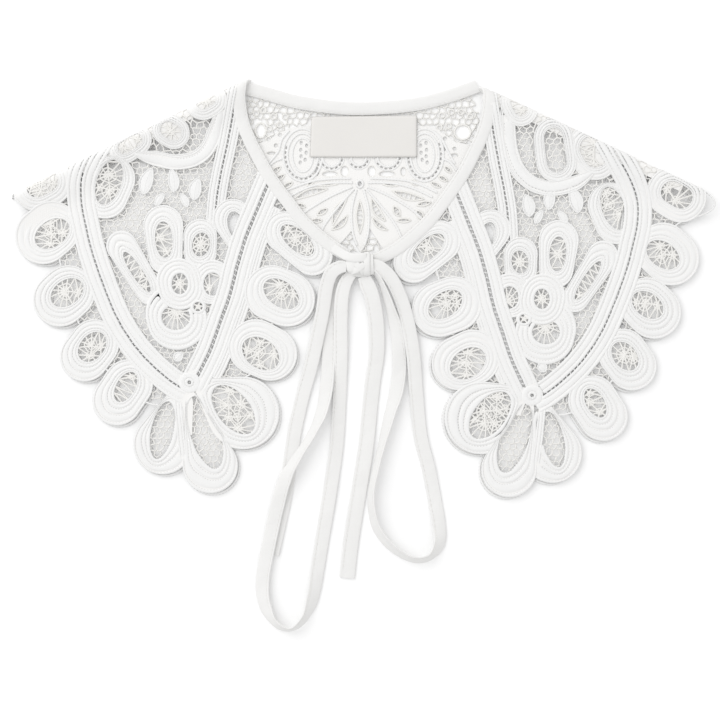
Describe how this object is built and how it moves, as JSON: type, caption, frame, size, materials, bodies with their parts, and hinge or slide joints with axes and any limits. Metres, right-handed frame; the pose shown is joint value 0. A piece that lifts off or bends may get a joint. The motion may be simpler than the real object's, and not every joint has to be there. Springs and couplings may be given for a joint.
{
  "type": "lace collar",
  "caption": "Lace collar laid flat: pointed fronts of looped tape lace folded over a matching back, with a bound neckline, a bare woven label and flat ties knotted in a long bow.",
  "frame": {"origin": "on the surface the collar lies on, under the middle of the collar without its ties", "axes": "+X to the right of the collar as it lies seen from above, +Y up it towards the back of the neck, +Z up out of the surface"},
  "size_m": [0.4474, 0.3585, 0.0096],
  "materials": {
    "lace_cotton": "white cotton tape lace, satin-stitched ridges over an open net",
    "bias_cotton": "warm white plain-woven cotton, folded as bias binding and flat ties",
    "label_satin": "pale grey woven satin label, bare"
  },
  "bodies": {
    "root": {"lace_front_left": "lace_cotton", "lace_front_right": "lace_cotton", "lace_back": "lace_cotton", "binding_front_left": "bias_cotton", "binding_front_right": "bias_cotton", "binding_back": "bias_cotton", "label": "label_satin", "bow_knot": "bias_cotton", "tie_left_tail": "bias_cotton", "tie_left_loop": "bias_cotton", "tie_right_tail": "bias_cotton", "tie_right_loop": "bias_cotton"}
  },
  "joints": []
}
